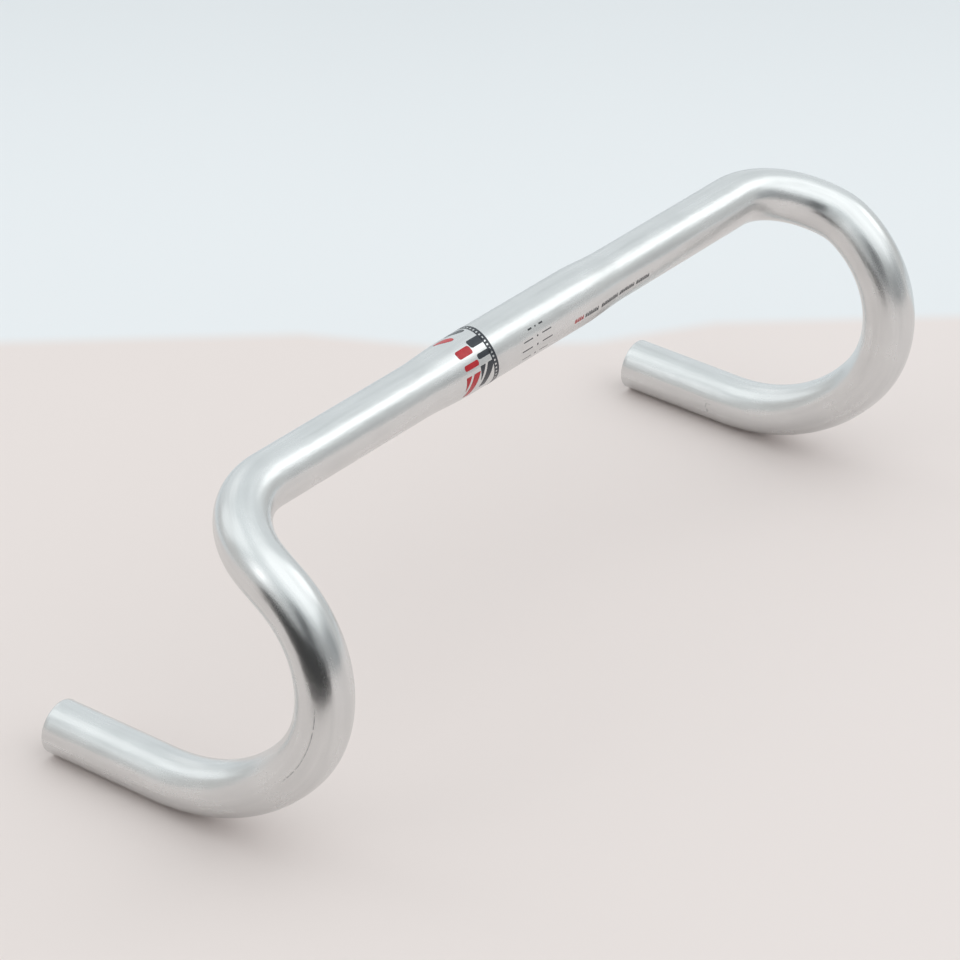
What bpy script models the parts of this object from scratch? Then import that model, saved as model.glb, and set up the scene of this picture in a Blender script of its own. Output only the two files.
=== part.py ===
"""Drop handlebar for a road or track bicycle: one bent aluminium tube with a
bulged stem clamp, plus the thin printed transfers that sit on it.

Metres, +Z up. The origin is the middle of the stem clamp, on the axis of the
tops. +X runs along the tops to the rider's right, +Y points forward, the way
the hooks reach, and the drops run back level towards -Y.
"""

import math

import bmesh
import bpy
from mathutils import Vector

# Tube
TUBE_OD = 0.0238
CLAMP_OD = 0.0260
WALL = 0.0020
END_CHAMFER = 0.0004
TUBE_SIDES = 24

# Bends of one half, measured on the centreline. The corner turns the tops
# forward, and the hook's own bend starts HOOK_OVERLAP before the corner ends.
HALF_WIDTH = 0.2100
CORNER_RADIUS = 0.0425
RAMP_ANGLE = math.radians(18.5)
HOOK_OVERLAP = 0.0115
HOOK_TOP_RADIUS = 0.0510
HOOK_TOP_TURN = math.radians(107.5)
HOOK_LOW_RADIUS = 0.0870
DROP_LENGTH = 0.0542
BEND_STATIONS = 32

# Clamp bulge: full diameter out to BULGE_FLAT, then a smooth taper
BULGE_FLAT = 0.0420
BULGE_TAPER = 0.0300

# Transfers: thin films standing just off the tube
FILM_GAP = 0.0003
FILM_THICKNESS = 0.0002
GRAPHIC_SPAN = (0.0265, 0.0505)
SCALE_SPAN = (-0.0120, 0.0120)
SCALE_ANGLES = (math.radians(-32.0), math.radians(40.0))
SPEC_SPAN = (-0.0860, -0.0255)
SPEC_ANGLES = (math.radians(-13.0), math.radians(3.0))
SIZE_MARK_WIDTH = 0.0014
SIZE_MARK_FROM_END = 0.0480
SIZE_MARK_ANGLES = (math.radians(38.0), math.radians(130.0))

ALUMINIUM = (0.80, 0.82, 0.84)
DARK_INK = (0.05, 0.05, 0.055)
GREY_INK = (0.22, 0.22, 0.23)


def clear_scene():
    for item in list(bpy.data.objects):
        bpy.data.objects.remove(item, do_unlink=True)


def new_collection(name):
    collection = bpy.data.collections.new(name)
    bpy.context.scene.collection.children.link(collection)
    return collection


def material(name, colour, roughness, metallic):
    mat = bpy.data.materials.new(name)
    mat.use_nodes = True
    shader = mat.node_tree.nodes["Principled BSDF"]
    shader.inputs["Base Color"].default_value = (*colour, 1.0)
    shader.inputs["Roughness"].default_value = roughness
    shader.inputs["Metallic"].default_value = metallic
    mat.diffuse_color = (*colour, 1.0)
    return mat


def tops_radius(x):
    """Outer radius of the tops at a distance x from the middle of the clamp."""
    share = (abs(x) - BULGE_FLAT) / BULGE_TAPER
    share = min(max(share, 0.0), 1.0)
    share = share * share * (3.0 - 2.0 * share)
    return 0.5 * (CLAMP_OD + (TUBE_OD - CLAMP_OD) * share)


def hook_lean(travel):
    """How far the hook has turned down from level, at a distance along the bends."""
    run = max(travel - (CORNER_RADIUS * math.pi / 2 - HOOK_OVERLAP), 0.0)
    top_run = HOOK_TOP_RADIUS * HOOK_TOP_TURN
    if run < top_run:
        return RAMP_ANGLE + run / HOOK_TOP_RADIUS
    return RAMP_ANGLE + HOOK_TOP_TURN + (run - top_run) / HOOK_LOW_RADIUS


def heading(travel):
    """Direction of the centreline: the corner swings it round, the hook tips it down."""
    corner = min(travel / CORNER_RADIUS, math.pi / 2)
    lean = hook_lean(travel)
    forward = math.sin(corner)
    return Vector((math.cos(corner), forward * math.cos(lean), -forward * math.sin(lean)))


def bends_length():
    low_turn = math.pi - RAMP_ANGLE - HOOK_TOP_TURN
    hook = HOOK_TOP_RADIUS * HOOK_TOP_TURN + HOOK_LOW_RADIUS * low_turn
    return CORNER_RADIUS * math.pi / 2 - HOOK_OVERLAP + hook


def half_centreline():
    """Centreline of the right half: tops, corner, hook in two radii, and drop."""
    points = [Vector((BULGE_FLAT + BULGE_TAPER * step / 4, 0.0, 0.0)) for step in range(5)]
    place = Vector((HALF_WIDTH - CORNER_RADIUS, 0.0, 0.0))
    points.append(place.copy())
    fine = 20
    stride = bends_length() / (BEND_STATIONS * fine)
    for step in range(BEND_STATIONS * fine):
        place += heading((step + 0.5) * stride) * stride
        if (step + 1) % fine == 0:
            points.append(place.copy())
    points.append(place + Vector((0.0, -DROP_LENGTH, 0.0)))
    return points


def swept_tube(name, points, radii, sides):
    """A poly curve with a round bevel whose radius is set at every point."""
    curve = bpy.data.curves.new(name, "CURVE")
    curve.dimensions = "3D"
    curve.twist_mode = "MINIMUM"
    curve.bevel_depth = TUBE_OD / 2
    curve.bevel_resolution = sides // 2 - 2
    curve.use_fill_caps = False
    spline = curve.splines.new("POLY")
    spline.points.add(len(points) - 1)
    for slot, place, radius in zip(spline.points, points, radii):
        slot.co = (*place, 1.0)
        slot.radius = radius / curve.bevel_depth
    return bpy.data.objects.new(name, curve)


def add_solidify(item, thickness, offset):
    shell = item.modifiers.new("Wall", "SOLIDIFY")
    shell.thickness = thickness
    shell.offset = offset
    shell.use_even_offset = True
    shell.use_rim = True
    return shell


def build_bar_tube(collection):
    """The whole bar: one tube of even wall, open at both ends, its rims chamfered."""
    right = half_centreline()
    left = [Vector((-point.x, point.y, point.z)) for point in right]
    points = list(reversed(left)) + right
    level = [abs(point.y) < 1e-9 and abs(point.z) < 1e-9 for point in points]
    radii = [tops_radius(p.x) if flat else TUBE_OD / 2 for p, flat in zip(points, level)]
    tube = swept_tube("bar_tube", points, radii, TUBE_SIDES)
    tube.data.materials.append(material("satin_aluminium", ALUMINIUM, 0.28, 1.0))
    add_solidify(tube, WALL, -1.0)
    rims = tube.modifiers.new("Rims", "BEVEL")
    rims.limit_method = "ANGLE"
    rims.angle_limit = math.radians(50.0)
    rims.width = END_CHAMFER
    rims.segments = 1
    collection.objects.link(tube)
    return tube


def turned_film(name, collection, axis, profile, angles, place, colour):
    """A film turned about an axis through its origin, from a profile of (along, radius).

    The angles run from +Y towards +Z about X, and from +Z towards +X about Y.
    """
    start, end = angles
    mesh = bpy.data.meshes.new(name)
    bm = bmesh.new()
    chain = []
    for along, radius in profile:
        first = radius * math.cos(start)
        second = radius * math.sin(start)
        spot = (along, first, second) if axis == "X" else (second, along, first)
        chain.append(bm.verts.new(spot))
    for one, two in zip(chain, chain[1:]):
        bm.edges.new((one, two))
    bm.to_mesh(mesh)
    bm.free()
    film = bpy.data.objects.new(name, mesh)
    film.location = place
    film.data.materials.append(material(name + "_ink", colour, 0.4, 0.0))
    screw = film.modifiers.new("Turn", "SCREW")
    screw.axis = axis
    screw.angle = end - start
    screw.steps = max(3, math.ceil((end - start) / math.radians(7.5)))
    screw.render_steps = screw.steps
    screw.use_merge_vertices = True
    screw.merge_threshold = 0.0001
    add_solidify(film, FILM_THICKNESS, 0.0)
    collection.objects.link(film)
    return film


def tops_profile(span, pieces):
    """Film profile along the tops, following the clamp bulge."""
    rise = FILM_GAP + FILM_THICKNESS / 2
    low, high = span
    places = [low + (high - low) * step / pieces for step in range(pieces + 1)]
    return [(x, tops_radius(x) + rise) for x in places]


def build_clamp_graphic_band(collection):
    """Printed band that goes right round the tops beside the stem, on the rider's right."""
    profile = tops_profile(GRAPHIC_SPAN, 4)
    turn = (0.0, math.tau)
    return turned_film("clamp_graphic_band", collection, "X", profile, turn, (0, 0, 0), DARK_INK)


def build_stem_alignment_scale(collection):
    """Printed scale on the front of the clamp, for setting the bar's tilt in the stem."""
    profile = tops_profile(SCALE_SPAN, 1)
    return turned_film(
        "stem_alignment_scale", collection, "X", profile, SCALE_ANGLES, (0, 0, 0), GREY_INK
    )


def build_tube_spec_strip(collection):
    """Long narrow printed strip along the tops, on the rider's left of the stem."""
    profile = tops_profile(SPEC_SPAN, 8)
    return turned_film(
        "tube_spec_strip", collection, "X", profile, SPEC_ANGLES, (0, 0, 0), GREY_INK
    )


def build_drop_size_mark(collection):
    """Fine printed ring mark on the inner side of the left drop."""
    end = half_centreline()[-1]
    radius = TUBE_OD / 2 + FILM_GAP + FILM_THICKNESS / 2
    profile = [(-SIZE_MARK_WIDTH / 2, radius), (SIZE_MARK_WIDTH / 2, radius)]
    place = (-end.x, end.y + SIZE_MARK_FROM_END, end.z)
    return turned_film(
        "left_drop_size_mark", collection, "Y", profile, SIZE_MARK_ANGLES, place, GREY_INK
    )


def main():
    clear_scene()
    bar = new_collection("drop_handlebar")
    build_bar_tube(bar)
    build_clamp_graphic_band(bar)
    build_stem_alignment_scale(bar)
    build_tube_spec_strip(bar)
    build_drop_size_mark(bar)


main()
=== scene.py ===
import math

import bmesh
import bpy
from mathutils import Matrix, Vector


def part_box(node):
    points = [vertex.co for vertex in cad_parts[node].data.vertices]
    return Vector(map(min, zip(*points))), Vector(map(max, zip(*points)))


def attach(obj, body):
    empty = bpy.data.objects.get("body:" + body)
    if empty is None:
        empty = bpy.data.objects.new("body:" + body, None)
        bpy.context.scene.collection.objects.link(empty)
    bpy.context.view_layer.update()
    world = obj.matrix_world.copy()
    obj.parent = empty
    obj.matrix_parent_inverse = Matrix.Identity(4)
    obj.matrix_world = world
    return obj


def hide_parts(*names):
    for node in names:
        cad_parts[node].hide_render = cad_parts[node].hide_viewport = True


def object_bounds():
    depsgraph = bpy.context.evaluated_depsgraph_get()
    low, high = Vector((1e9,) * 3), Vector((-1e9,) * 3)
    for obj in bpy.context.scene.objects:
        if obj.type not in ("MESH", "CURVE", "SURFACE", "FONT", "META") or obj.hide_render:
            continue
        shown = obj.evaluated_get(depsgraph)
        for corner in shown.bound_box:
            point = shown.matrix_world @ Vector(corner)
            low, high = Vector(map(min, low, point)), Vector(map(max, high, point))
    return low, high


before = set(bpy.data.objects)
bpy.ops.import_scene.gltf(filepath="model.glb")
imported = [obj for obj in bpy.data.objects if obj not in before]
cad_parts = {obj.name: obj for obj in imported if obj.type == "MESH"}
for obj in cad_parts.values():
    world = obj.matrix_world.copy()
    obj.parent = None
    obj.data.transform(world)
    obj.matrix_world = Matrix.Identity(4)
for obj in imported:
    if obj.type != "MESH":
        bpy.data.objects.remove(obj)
cad_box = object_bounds()


# ---------------------------------------------------------------------------
# Bar tube: the whole handlebar is one drawn aluminium tube, swollen at the
# stem clamp, then bent at two corners and two hooks and sawn square at both
# ends. Its surface is polished along its length to a soft satin.
# ---------------------------------------------------------------------------
TUBE_RADIUS = 0.01183  # a hair less than the flat-sided solid it stands for
CLAMP_RADIUS = 0.0130
WALL = 0.0020
RIM_CHAMFER = 0.00045
HALF_WIDTH = 0.2100
CORNER_RADIUS = 0.0425
RAMP_ANGLE = math.radians(18.5)
HOOK_OVERLAP = 0.0115
HOOK_TOP_RADIUS = 0.0510
HOOK_TOP_TURN = math.radians(107.5)
HOOK_LOW_RADIUS = 0.0870
DROP_LENGTH = 0.0542
BULGE_FLAT = 0.0420
BULGE_TAPER = 0.0300
CORNER_LENGTH = CORNER_RADIUS * math.pi / 2
TUBE_SIDES = 96
BEND_RINGS = 110
STEPS_PER_RING = 6


class Value:
    """A shader socket that sums, scales and compares like a number."""

    def __init__(self, tree, socket):
        self.tree = tree
        self.socket = socket

    def math(self, operation, *others, clamp=False):
        node = self.tree.nodes.new("ShaderNodeMath")
        node.operation = operation
        node.use_clamp = clamp
        for slot, item in zip(node.inputs, (self, *others)):
            if isinstance(item, Value):
                self.tree.links.new(item.socket, slot)
            else:
                slot.default_value = item
        return Value(self.tree, node.outputs[0])

    def __add__(self, other):
        return self.math("ADD", other)

    def __sub__(self, other):
        return self.math("SUBTRACT", other)

    def __mul__(self, other):
        return self.math("MULTIPLY", other)

    def __truediv__(self, other):
        return self.math("DIVIDE", other)

    def __rsub__(self, other):
        return (self * -1.0).math("ADD", other)

    __radd__ = __add__
    __rmul__ = __mul__

    def above(self, edge, width):
        """0 below the edge, 1 above it, with a soft step of that width."""
        return ((self - edge) / width).math("ADD", 0.5, clamp=True)

    def within(self, low, high, width):
        return self.above(low, width) * (1 - self.above(high, width))


class Nodes:
    """A node tree, with one way to add any node and join it up."""

    def __init__(self, tree):
        self.tree = tree

    def node(self, kind, settings=None, **sockets):
        node = self.tree.nodes.new(kind)
        for key, item in (settings or {}).items():
            setattr(node, key, item)
        for key, item in sockets.items():
            self.join(item, node.inputs[key.replace("_", " ")])
        return node

    def join(self, item, slot):
        if isinstance(item, Value):
            item = item.socket
        if isinstance(item, bpy.types.NodeSocket):
            self.tree.links.new(item, slot)
        else:
            slot.default_value = item

    def value(self, socket):
        return Value(self.tree, socket)

    def split(self, vector):
        node = self.node("ShaderNodeSeparateXYZ", Vector=vector)
        return [self.value(part) for part in node.outputs]

    def noise(self, vector, stretch, scale, detail=2.0, roughness=0.5):
        mapping = self.node("ShaderNodeMapping", Vector=vector, Scale=stretch)
        node = self.node(
            "ShaderNodeTexNoise",
            Vector=mapping.outputs[0], Scale=scale, Detail=detail, Roughness=roughness,
        )
        return self.value(node.outputs[0])

    def smooth(self, value, low, high):
        """0 below the low edge, 1 above the high one, easing between them."""
        node = self.node(
            "ShaderNodeMapRange", {"interpolation_type": "SMOOTHSTEP"},
            Value=value, From_Min=low, From_Max=high,
        )
        return self.value(node.outputs[0])

    def blend(self, share, first, second):
        node = self.node("ShaderNodeMix", {"data_type": "RGBA"})
        self.join(share, node.inputs["Factor"])
        colours = [slot for slot in node.inputs if slot.type == "RGBA"]
        for item, slot in zip((first, second), colours):
            self.join(item if not isinstance(item, tuple) else (*item, 1.0), slot)
        return [slot for slot in node.outputs if slot.type == "RGBA"][0]


class Finish(Nodes):
    """A Principled material and what changes over its surface."""

    def __init__(self, name, roughness=0.5, metallic=0.0):
        self.material = bpy.data.materials.new(name)
        self.material.use_nodes = True
        super().__init__(self.material.node_tree)
        self.shader = self.tree.nodes["Principled BSDF"]
        self.shader.inputs["Roughness"].default_value = roughness
        self.shader.inputs["Metallic"].default_value = metallic

    def unbent(self):
        """Where a point lay on the tube before it was bent: along, and two across."""
        settings = {"attribute_type": "GEOMETRY", "attribute_name": "unbent"}
        return self.node("ShaderNodeAttribute", settings).outputs["Vector"]

    def place(self):
        """Where a point is in the whole bar, in metres."""
        return self.node("ShaderNodeTexCoord").outputs["Object"]

    def colour(self, item):
        self.join(item, self.shader.inputs["Base Color"])

    def roughness(self, item):
        self.join(item, self.shader.inputs["Roughness"])

    def bump(self, height, depth):
        node = self.node("ShaderNodeBump", Height=height, Distance=depth)
        self.join(node.outputs[0], self.shader.inputs["Normal"])


def tops_radius(x):
    """Outer radius of the tops, from the clamp bulge down its smooth taper."""
    share = min(max((abs(x) - BULGE_FLAT) / BULGE_TAPER, 0.0), 1.0)
    share = share * share * (3.0 - 2.0 * share)
    return CLAMP_RADIUS + (TUBE_RADIUS - CLAMP_RADIUS) * share


def heading(travel):
    """Direction of the tube's axis at a distance along its bends."""
    run = max(travel - (CORNER_LENGTH - HOOK_OVERLAP), 0.0)
    top_run = HOOK_TOP_RADIUS * HOOK_TOP_TURN
    lean = RAMP_ANGLE + min(run, top_run) / HOOK_TOP_RADIUS
    lean += max(run - top_run, 0.0) / HOOK_LOW_RADIUS
    corner = min(travel / CORNER_RADIUS, math.pi / 2)
    forward = math.sin(corner)
    return Vector((math.cos(corner), forward * math.cos(lean), -forward * math.sin(lean)))


def tube_stations():
    """Axis point, direction, radius and distance from the middle, down one half."""
    along_x = Vector((1.0, 0.0, 0.0))
    stations = []
    tops = HALF_WIDTH - CORNER_RADIUS
    level = [0.010, 0.020, 0.030, 0.038]
    level += [BULGE_FLAT + BULGE_TAPER * step / 20 for step in range(21)]
    level += [BULGE_FLAT + BULGE_TAPER + 0.008, 0.100, 0.130, 0.155, tops - 0.004, tops]
    for x in level:
        stations.append((Vector((x, 0.0, 0.0)), along_x, tops_radius(x), x))
    low_turn = math.pi - RAMP_ANGLE - HOOK_TOP_TURN
    hook = HOOK_TOP_RADIUS * HOOK_TOP_TURN + HOOK_LOW_RADIUS * low_turn
    bends = CORNER_LENGTH - HOOK_OVERLAP + hook
    steps = BEND_RINGS * STEPS_PER_RING
    stride = bends / steps
    place = Vector((tops, 0.0, 0.0))
    for step in range(1, steps + 1):
        place = place + heading((step - 0.5) * stride) * stride
        if step % STEPS_PER_RING == 0:
            travel = step * stride
            stations.append((place, heading(travel), TUBE_RADIUS, tops + travel))
    back = Vector((0.0, -1.0, 0.0))
    for run in (0.004, 0.015, 0.030, 0.045, DROP_LENGTH - 0.002, DROP_LENGTH):
        stations.append((place + back * run, back, TUBE_RADIUS, tops + bends + run))
    return stations


def swept_half(bm, unbent):
    """Draws a ring of edges down the axis, one station at a time."""
    upright = Matrix.Rotation(math.pi / 2, 4, "Y")
    bmesh.ops.create_circle(
        bm, cap_ends=False, segments=TUBE_SIDES, radius=CLAMP_RADIUS, matrix=upright
    )
    for vert in bm.verts:
        vert[unbent] = vert.co
    ring = list(bm.edges)
    last_place, last_way, last_radius = Vector(), Vector((1.0, 0.0, 0.0)), CLAMP_RADIUS
    for place, way, radius, along in tube_stations():
        grown = bmesh.ops.extrude_edge_only(bm, edges=ring)["geom"]
        ring = [item for item in grown if isinstance(item, bmesh.types.BMEdge)]
        points = [item for item in grown if isinstance(item, bmesh.types.BMVert)]
        turn = last_way.rotation_difference(way).to_matrix().to_4x4()
        move = Matrix.Translation(place) @ turn @ Matrix.Scale(radius / last_radius, 4)
        bmesh.ops.transform(bm, matrix=move @ Matrix.Translation(-last_place), verts=points)
        for vert in points:
            start = vert[unbent]
            vert[unbent] = (along, start.y, start.z)
        last_place, last_way, last_radius = place, way, radius


def build_bar_tube():
    """Both halves of the tube as one skin, with a wall inside it and chamfered rims."""
    bm = bmesh.new()
    unbent = bm.verts.layers.float_vector.new("unbent")
    swept_half(bm, unbent)
    half = list(bm.verts) + list(bm.edges) + list(bm.faces)
    bmesh.ops.mirror(bm, geom=half, axis="X", merge_dist=0.00001)
    for vert in bm.verts:
        if vert.co.x < 0:
            vert[unbent] = (-vert[unbent].x, vert[unbent].y, vert[unbent].z)
    bmesh.ops.recalc_face_normals(bm, faces=bm.faces)
    mesh = bpy.data.meshes.new("bar_tube_polished")
    bm.to_mesh(mesh)
    bm.free()
    mesh.shade_smooth()
    tube = bpy.data.objects.new("bar_tube_polished", mesh)
    bpy.context.collection.objects.link(tube)
    wall = tube.modifiers.new("Wall", "SOLIDIFY")
    wall.thickness = WALL
    wall.offset = -1.0
    rims = tube.modifiers.new("Rims", "BEVEL")
    rims.limit_method = "ANGLE"
    rims.angle_limit = math.radians(50.0)
    rims.width = RIM_CHAMFER
    rims.segments = 2
    return tube


DULL_METAL = (0.665, 0.674, 0.674)
BRIGHT_METAL = (0.756, 0.765, 0.764)
GRAIN_DEPTH = 0.00002
DIE_MARK_GREY = (0.22, 0.22, 0.22)
DIE_MARK_SPAN = (0.284, 0.322)
DIE_MARK_MIDDLE = 0.300
DIE_MARK_TURN = 2.53
DIE_MARK_DRIFT = 3.8
DIE_MARK_LEAN = 0.020


def polished_aluminium():
    """Draw lines along the tube, a fine grain, slow cloudiness and a die mark."""
    metal = Finish("polished_aluminium", roughness=0.26, metallic=1.0)
    laid = metal.unbent()
    streaks = metal.noise(laid, (0.07, 1.0, 1.0), 300.0, detail=3.0)
    waves = metal.noise(laid, (0.45, 1.0, 1.0), 190.0, detail=2.0)
    lines = metal.noise(laid, (0.15, 1.0, 1.0), 1100.0, detail=2.0)
    grain = metal.noise(laid, (1.0, 1.0, 1.0), 1900.0, detail=2.0)
    cloud = metal.noise(laid, (1.0, 1.0, 1.0), 55.0, detail=4.0)
    along, second, third = metal.split(laid)
    turn = third.math("ARCTAN2", second)
    off_line = turn - DIE_MARK_TURN - (along - DIE_MARK_MIDDLE) * DIE_MARK_DRIFT
    mark = off_line.within(-DIE_MARK_LEAN, DIE_MARK_LEAN, 0.022)
    mark = mark * along.within(*DIE_MARK_SPAN, 0.006)
    mark = mark * metal.noise(laid, (1.0, 0.0, 0.0), 420.0, detail=1.0).above(0.46, 0.16)
    drawn = (streaks * 0.6 + cloud * 0.4).above(0.5, 0.32)
    tint = metal.blend(drawn, DULL_METAL, BRIGHT_METAL)
    metal.colour(metal.blend(mark * 0.5, tint, DIE_MARK_GREY))
    metal.roughness(0.17 + cloud * 0.08 + streaks * 0.07 + grain * 0.03 + mark * 0.2)
    relief = streaks * 3.4 + waves * 6.0 + lines * 0.4 + grain * 0.15 - mark * 1.5
    metal.bump(relief, GRAIN_DEPTH)
    return metal.material


bar_tube = build_bar_tube()
bar_tube.data.materials.append(polished_aluminium())
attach(bar_tube, "root")
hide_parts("bar_tube")


# ---------------------------------------------------------------------------
# Clamp graphic: a transfer printed right round the tops beside the stem, in
# black and red ink. A chequered border stands next to the stem, and two
# staggered columns of plain bars, stripes and petals run round the tube.
# ---------------------------------------------------------------------------
INK_LIFT = 0.00002
INK_THICKNESS = 0.00003
INK_RELIEF = 0.000008
CUT_DEGREES = 4
CUT_LENGTH = 0.0015
CORNER_MERGE = 0.000002
CREASE_ANGLE = 0.6
CHEQUERS = 44
BORDER_START = 0.0267
BORDER_BOW = 0.0028
BOW_TURN = math.radians(42.0)


def round_way(degrees):
    """Length round the clamp bulge from its front, at an angle up from level."""
    return CLAMP_RADIUS * math.radians(degrees)


def printed_shape(bm, corners, rounding=0.0):
    """One flat mark on the unrolled tube; corners are metres along, degrees round."""
    verts = [bm.verts.new((along, round_way(turn), 0.0)) for along, turn in corners]
    face = bm.faces.new(verts)
    face.normal_update()
    if face.normal.z > 0:
        face.normal_flip()
    if rounding:
        bmesh.ops.bevel(
            bm, geom=verts, offset=rounding, offset_type="OFFSET", affect="VERTICES",
            segments=5, profile=0.5, material=-1,
        )


def printed_bar(bm, start, end, low, high, rounding=0.0):
    printed_shape(bm, [(start, low), (end, low), (end, high), (start, high)], rounding)


def cut_flat(bm, place, way):
    """Cuts the flat marks along one line of the unrolled tube."""
    everything = list(bm.verts) + list(bm.edges) + list(bm.faces)
    bmesh.ops.bisect_plane(bm, geom=everything, plane_co=place, plane_no=way)


def rolled_on_tops(bm, name, bow=0.0):
    """Cuts the flat marks into narrow strips, wraps them round the tops and thickens them."""
    for step in range(-100, 101):
        cut_flat(bm, (0.0, round_way(step * CUT_DEGREES), 0.0), (0.0, 1.0, 0.0))
    for step in range(-60, 61):
        cut_flat(bm, (step * CUT_LENGTH, 0.0, 0.0), (1.0, 0.0, 0.0))
    for vert in bm.verts:
        turn = vert.co.y / CLAMP_RADIUS
        along = vert.co.x + bow * math.cos(turn - BOW_TURN) ** 2
        reach = tops_radius(along) + INK_LIFT
        vert.co = (along, reach * math.cos(turn), reach * math.sin(turn))
    bmesh.ops.remove_doubles(bm, verts=bm.verts, dist=CORNER_MERGE)
    return printed_film(bm, name)


def printed_film(bm, name):
    """Gives the marks the thickness of the ink and makes them a piece."""
    bmesh.ops.solidify(bm, geom=list(bm.faces), thickness=-INK_THICKNESS)
    bmesh.ops.recalc_face_normals(bm, faces=bm.faces)
    for face in bm.faces:
        face.smooth = True
    for edge in bm.edges:
        edge.smooth = edge.calc_face_angle(0.0) < CREASE_ANGLE
    mesh = bpy.data.meshes.new(name)
    bm.to_mesh(mesh)
    bm.free()
    film = bpy.data.objects.new(name, mesh)
    bpy.context.collection.objects.link(film)
    return film


def printed_ink(name, thin, thick, coat):
    """Glossy ink with an uneven coat and a few worn specks."""
    ink = Finish(name, roughness=0.3)
    place = ink.place()
    coverage = ink.noise(place, (1.0, 1.0, 1.0), 420.0, detail=4.0)
    specks = ink.noise(place, (1.0, 1.0, 1.0), 2600.0, detail=1.0)
    even = ink.blend(coverage.above(0.5, 0.5), thin, thick)
    worn = tuple(min(1.0, part + 0.10) for part in thin)
    ink.colour(ink.blend(specks.above(0.76, 0.06), even, worn))
    ink.roughness(0.16 + coverage * 0.12 + specks * 0.05)
    ink.bump(coverage + specks * 0.4, INK_RELIEF)
    ink.shader.inputs["Specular IOR Level"].default_value = 0.3
    ink.shader.inputs["Coat Weight"].default_value = coat
    ink.shader.inputs["Coat Roughness"].default_value = 0.12
    return ink.material


black_ink = printed_ink("black_ink", (0.036, 0.044, 0.056), (0.020, 0.025, 0.033), 0.25)
red_ink = printed_ink("red_ink", (0.54, 0.014, 0.024), (0.42, 0.005, 0.012), 0.25)

border = bmesh.new()
printed_bar(border, BORDER_START, BORDER_START + 0.0012, 0.0, 360.0)
printed_bar(border, BORDER_START + 0.0024, BORDER_START + 0.0032, 0.0, 360.0)
chequer = 360.0 / CHEQUERS
for step in range(CHEQUERS):
    low, high = (step + 0.22) * chequer, (step + 0.78) * chequer
    printed_bar(border, BORDER_START + 0.0010, BORDER_START + 0.0025, low, high)
clamp_border = rolled_on_tops(border, "clamp_graphic_border", bow=BORDER_BOW)
clamp_border.data.materials.append(black_ink)


COLUMN_WIDTH = 0.0093
STRIPE = [(0.0, -55.0), (0.0044, -55.0), (0.0094, -100.0), (0.0056, -100.0)]
WEDGE = [(0.0060, -55.0), (0.0096, -55.0), (0.0096, -84.0)]
PETAL = [(0.0004, 36.0), (0.0008, 28.0), (0.0028, 26.5), (0.0060, 34.0)]
PETAL += [(0.0098, 49.0), (0.0060, 51.0), (0.0022, 45.0)]


def printed_column(name, start, turn, ink):
    """Two rounded bars, a slanted stripe, a wedge and a petal, twice round the tube."""
    bm = bmesh.new()
    for top in (turn, turn + 180.0):
        printed_bar(bm, start, start + COLUMN_WIDTH, top - 18.0, top, rounding=0.0012)
        printed_bar(bm, start, start + COLUMN_WIDTH, top - 43.0, top - 32.0, rounding=0.0010)
        for outline, rounding in ((STRIPE, 0.0003), (WEDGE, 0.0003), (PETAL, 0.0006)):
            corners = [(start + along, top + lean) for along, lean in outline]
            printed_shape(bm, corners, rounding)
    column = rolled_on_tops(bm, name)
    column.data.materials.append(ink)
    return column


black_column = printed_column("clamp_graphic_black", 0.0310, 75.0, black_ink)
red_column = printed_column("clamp_graphic_red", 0.0409, 67.0, red_ink)
for transfer in (clamp_border, black_column, red_column):
    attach(transfer, "root")
    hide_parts("clamp_graphic_band")


# ---------------------------------------------------------------------------
# Stem alignment scale: four rows of dashes on the front of the clamp, with a
# tick between the dashes, printed in grey ink to set the bar's tilt by.
# ---------------------------------------------------------------------------
grey_ink = printed_ink("grey_ink", (0.075, 0.078, 0.084), (0.045, 0.048, 0.054), 0.2)
SCALE_ROWS = [(33.0, 0.0026, 0.0052, 0.00075), (14.0, 0.0034, 0.0098, 0.00046)]
SCALE_ROWS += [(-3.5, 0.0036, 0.0108, 0.00046), (-24.0, 0.0032, 0.0092, 0.00030)]

scale = bmesh.new()
for turn, near, far, width in SCALE_ROWS:
    lean = math.degrees(width / CLAMP_RADIUS) / 2
    for side in (-1.0, 1.0):
        printed_bar(scale, side * near, side * far, turn - lean, turn + lean)
    printed_bar(scale, -0.0004, 0.0004, turn - 1.7, turn + 1.7)
stem_scale = rolled_on_tops(scale, "stem_alignment_marks")
stem_scale.data.materials.append(grey_ink)
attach(stem_scale, "root")
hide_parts("stem_alignment_scale")


# ---------------------------------------------------------------------------
# Tube strip: one fine line of ticks along the front of the tops, printed in
# grey ink, with a short red group at the end next to the stem.
# ---------------------------------------------------------------------------
STRIP_TURN = -5.5
STRIP_LEAN = 4.6
STRIP_TICK = 0.00050
STRIP_PITCH = 0.00170


def tick_row(bm, start, end):
    """Pairs of ticks, a tall one and a short one, between two places along the tops."""
    low = STRIP_TURN - STRIP_LEAN
    for step in range(round((end - start) / STRIP_PITCH)):
        along = start + step * STRIP_PITCH
        printed_bar(bm, along, along + STRIP_TICK, low, STRIP_TURN + STRIP_LEAN)
        along += STRIP_TICK * 1.45
        printed_bar(bm, along, along + STRIP_TICK, low, STRIP_TURN + (1.8, 3.2)[step % 2])


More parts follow.
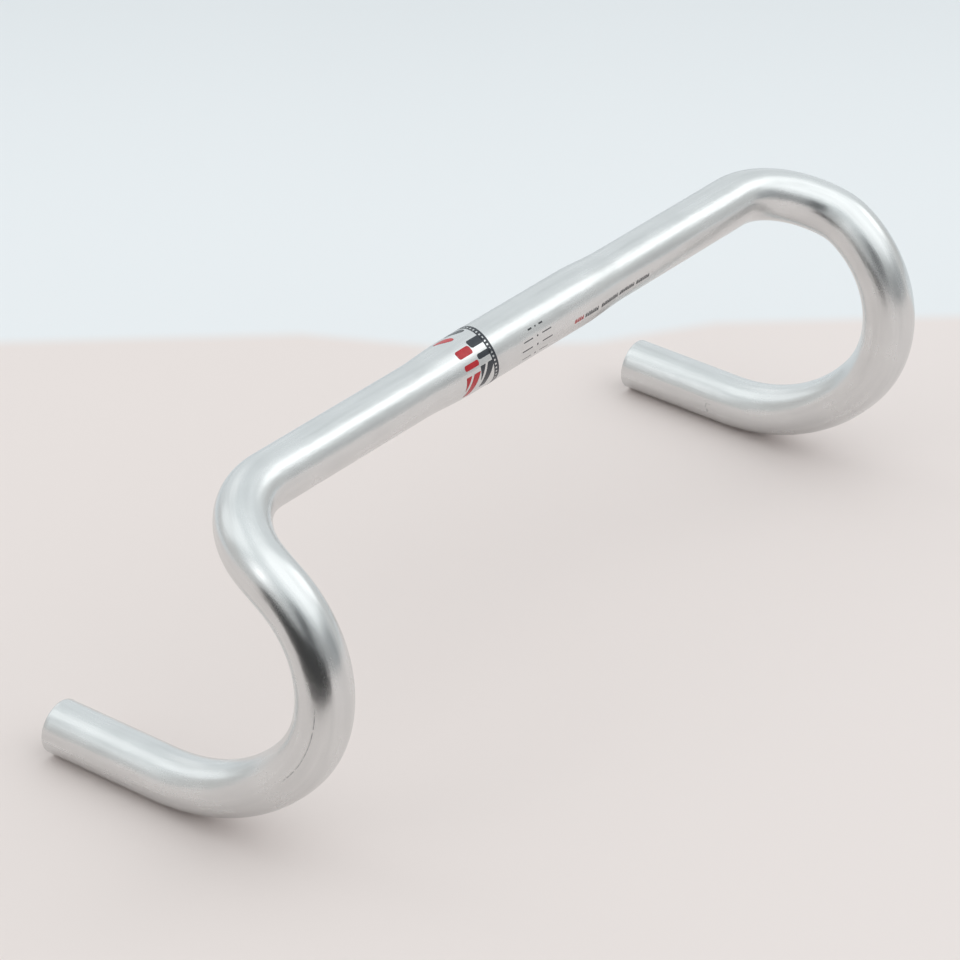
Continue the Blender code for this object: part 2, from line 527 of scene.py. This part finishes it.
red_ticks = bmesh.new()
tick_row(red_ticks, -0.0340, -0.0268)
strip_red = rolled_on_tops(red_ticks, "tube_strip_red")
strip_red.data.materials.append(red_ink)
grey_ticks = bmesh.new()
GREY_GROUPS = [(-0.0452, -0.0356), (-0.0610, -0.0466), (-0.0740, -0.0626), (-0.0855, -0.0756)]
for start, end in GREY_GROUPS:
    tick_row(grey_ticks, start, end)
strip_grey = rolled_on_tops(grey_ticks, "tube_strip_grey")
strip_grey.data.materials.append(grey_ink)
for strip in (strip_red, strip_grey):
    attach(strip, "root")
    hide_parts("tube_spec_strip")


# ---------------------------------------------------------------------------
# Left drop mark: five fine ticks that step part of the way round the inner
# side of the left drop, with three short bars, printed in faint grey ink.
# ---------------------------------------------------------------------------
faint_ink = printed_ink("faint_grey_ink", (0.27, 0.275, 0.275), (0.20, 0.205, 0.205), 0.2)
drop_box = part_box("left_drop_size_mark")
bar_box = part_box("bar_tube")
mark_middle = (drop_box[0][1] + drop_box[1][1]) / 2
drop_axis = Vector((-HALF_WIDTH, mark_middle, bar_box[0][2] + TUBE_RADIUS))
GAUGE_TICK_HALF = 0.00016
GAUGE_TICK_HEIGHT = 8.0
gauge = bmesh.new()
for step in range(5):
    turn = 48.0 + step * 13.0
    along = -0.0016 + 0.0007 * step
    near, far = along - GAUGE_TICK_HALF, along + GAUGE_TICK_HALF
    printed_bar(gauge, near, far, turn, turn + GAUGE_TICK_HEIGHT)
for step in range(3):
    printed_bar(gauge, 0.0006 + step * 0.0009, 0.0009 + step * 0.0009, 78.0, 87.0)
for vert in gauge.verts:
    turn = vert.co.y / CLAMP_RADIUS
    reach = TUBE_RADIUS + INK_LIFT
    vert.co = drop_axis + Vector((reach * math.sin(turn), vert.co.x, reach * math.cos(turn)))
drop_mark = printed_film(gauge, "left_drop_gauge_mark")
drop_mark.data.materials.append(faint_ink)
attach(drop_mark, "root")
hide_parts("left_drop_size_mark")


# ---------------------------------------------------------------------------
# Studio: a pale cloth that ends on a pale table, with painted light and shade on them,
# in a soft uneven room that is brighter high up and darker in front, and a black sheet
# before the bar that only reflections see, a painted dark reflection.
# ---------------------------------------------------------------------------
TOWARD = Vector((0.8264, 0.5631, 0.0))
LEFTWARD = Vector((0.5631, -0.8264, 0.0))
TABLE_SIZE = 8.0
CLOTH_REACH = 0.368
CLOTH_HUMP = 0.024
CLOTH_PAINTED_LIGHT_SHADES = ((0.800, 0.720, 0.692), (0.820, 0.742, 0.718))
TABLE_PAINTED_SHADE_FAR_NEAR = ((0.668, 0.686, 0.702), (0.806, 0.820, 0.836))
DARK_REFLECTION_PLACE = (0.3678, 0.1766)
DARK_REFLECTION_TURN = math.radians(34.3 - 25.0)
DARK_REFLECTION_HALF_HEIGHT = 0.068
DARK_REFLECTION_HALF_LENGTH = 0.205
DARK_REFLECTION_MIDDLE = 0.069
low_z = cad_box[0][2]


def stage_object(name, bm, material):
    """A mesh that isn't part of the bar."""
    mesh = bpy.data.meshes.new(name)
    bm.to_mesh(mesh)
    bm.free()
    mesh.materials.append(material)
    item = bpy.data.objects.new(name, mesh)
    bpy.context.collection.objects.link(item)
    return item


def pale_table():
    """One big flat sheet; its material draws the cloth and the bare table behind it, with painted
    light on the cloth (lighter to the right) and painted shade on the table (darker far back).
    """
    bm = bmesh.new()
    level = Matrix.Translation((0.0, 0.0, low_z - 0.0001))
    bmesh.ops.create_grid(bm, x_segments=8, y_segments=8, size=TABLE_SIZE, matrix=level)
    cover = Finish("table_cover", roughness=0.9)
    x, y, _ = cover.split(cover.place())
    hump = (y - x).within(-0.03, 0.17, 0.09)
    edge = x + y + CLOTH_REACH - hump * CLOTH_HUMP
    rightward = y * 0.826 - x * 0.563
    # Painted light: the cloth is coloured lighter towards the right.
    cloth = cover.blend(cover.smooth(rightward, -0.15, 0.40), *CLOTH_PAINTED_LIGHT_SHADES)
    # Painted shade: the bare table is coloured darker far back and lighter near the cloth.
    bare = cover.blend(cover.smooth(edge, -1.1, -0.1), *TABLE_PAINTED_SHADE_FAR_NEAR)
    cover.colour(cover.blend(cover.smooth(edge, -0.010, 0.012), bare, cloth))
    cover.shader.inputs["Specular IOR Level"].default_value = 0.1
    stage_object("table", bm, cover.material)


pale_table()


def dark_front():
    """A black sheet in front of the bar that only reflections see: a painted dark reflection on
    the lower metal.
    """
    bm = bmesh.new()
    upright = Matrix.Rotation(DARK_REFLECTION_TURN, 4, "Z") @ Matrix.Rotation(math.pi / 2, 4, "Y")
    size = Matrix.Diagonal((DARK_REFLECTION_HALF_HEIGHT, DARK_REFLECTION_HALF_LENGTH, 1.0, 1.0))
    place = Matrix.Translation((*DARK_REFLECTION_PLACE, low_z + DARK_REFLECTION_MIDDLE))
    bmesh.ops.create_grid(bm, x_segments=1, y_segments=1, size=1.0, matrix=place @ upright @ size)
    black = Finish("dark_front_shade", roughness=0.9)
    black.colour((0.04, 0.04, 0.04, 1.0))
    black.shader.inputs["Specular IOR Level"].default_value = 0.0
    dark_reflection_sheet = stage_object("dark_front", bm, black.material)
    dark_reflection_sheet.visible_camera = False
    dark_reflection_sheet.visible_diffuse = False
    dark_reflection_sheet.visible_shadow = False


dark_front()

world = bpy.data.worlds.new("studio")
bpy.context.scene.world = world
world.use_nodes = True
room = Nodes(world.node_tree)
way = room.node("ShaderNodeTexCoord").outputs["Generated"]


def room_way(side, height):
    """A direction, from degrees round from the camera's left by its own side, and up."""
    side = math.radians(side)
    height = math.radians(height)
    level_way = TOWARD * math.sin(side) + LEFTWARD * math.cos(side)
    return level_way * math.cos(height) + Vector((0.0, 0.0, math.sin(height)))


def glow(side, height, inner, outer):
    """How much of a round patch of the room lies in the looked-at direction."""
    node = room.node("ShaderNodeVectorMath", {"operation": "DOT_PRODUCT"}, Vector=way)
    room.join(room_way(side, height), node.inputs[1])
    angle = room.value(node.outputs["Value"])
    return room.smooth(angle, math.cos(math.radians(outer)), math.cos(math.radians(inner)))


level = room.split(way)[2]
walls = room.blend(room.smooth(level, 0.0, 0.9), (0.62, 0.625, 0.62), (0.87, 0.93, 0.945))
# Each patch: degrees round, degrees up, its full and faded radius, its colour.
WALL_PATCHES = [
    (275.0, 18.0, 15.0, 55.0, (0.84, 0.89, 0.91)),
    (0.0, 10.0, 6.0, 19.0, (0.63, 0.63, 0.62)),
    (165.0, 10.0, 8.0, 28.0, (0.38, 0.40, 0.41)),
    (344.0, 51.0, 7.0, 20.0, (1.20, 1.25, 1.26)),
    (334.0, 26.0, 8.0, 20.0, (1.08, 1.12, 1.13)),
    (170.0, 66.0, 20.0, 44.0, (1.34, 1.39, 1.40)),
    (301.0, 33.0, 5.0, 16.0, (1.05, 1.09, 1.10)),
]
FRONT_PATCHES = [
    (96.0, 23.0, 6.0, 20.0, (0.12, 0.125, 0.13)),
    (42.0, 36.0, 9.0, 24.0, (1.22, 1.26, 1.27)),
    (42.0, 36.0, 1.0, 6.0, (3.0, 3.0, 3.0)),
    (188.0, 50.0, 8.0, 18.0, (1.24, 1.29, 1.30)),
    (212.0, 36.0, 6.0, 16.0, (1.65, 1.70, 1.70)),
]
for side, height, inner, outer, shade in WALL_PATCHES:
    walls = room.blend(glow(side, height, inner, outer), walls, shade)
dim_front = glow(113.0, 0.0, 30.0, 54.0) * (1 - room.smooth(level, 0.16, 0.66))
walls = room.blend(dim_front, walls, (0.34, 0.35, 0.355))
for side, height, inner, outer, shade in FRONT_PATCHES:
    walls = room.blend(glow(side, height, inner, outer), walls, shade)
seen = room.value(room.node("ShaderNodeLightPath").outputs["Is Camera Ray"])
walls = room.blend(seen, walls, (0.80, 0.81, 0.82))
room.join(walls, world.node_tree.nodes["Background"].inputs["Color"])

# Camera: a long lens from the bar's right and front, looking down on it.
camera_data = bpy.data.cameras.new("camera")
camera_data.sensor_width = 36.0
camera_data.lens = 169.55
camera_place = (1.40655, 0.94532, 0.88658)
camera = bpy.data.objects.new("camera", camera_data)
bpy.context.collection.objects.link(camera)
across = Vector((-0.586354, 0.808344, 0.052619))
upward = Vector((-0.372357, -0.326648, 0.868707))
turned = Matrix((across, upward, across.cross(upward))).transposed()
camera.matrix_world = Matrix.Translation(camera_place) @ turned.to_4x4()
bpy.context.scene.camera = camera
bpy.context.scene.view_settings.view_transform = "Standard"
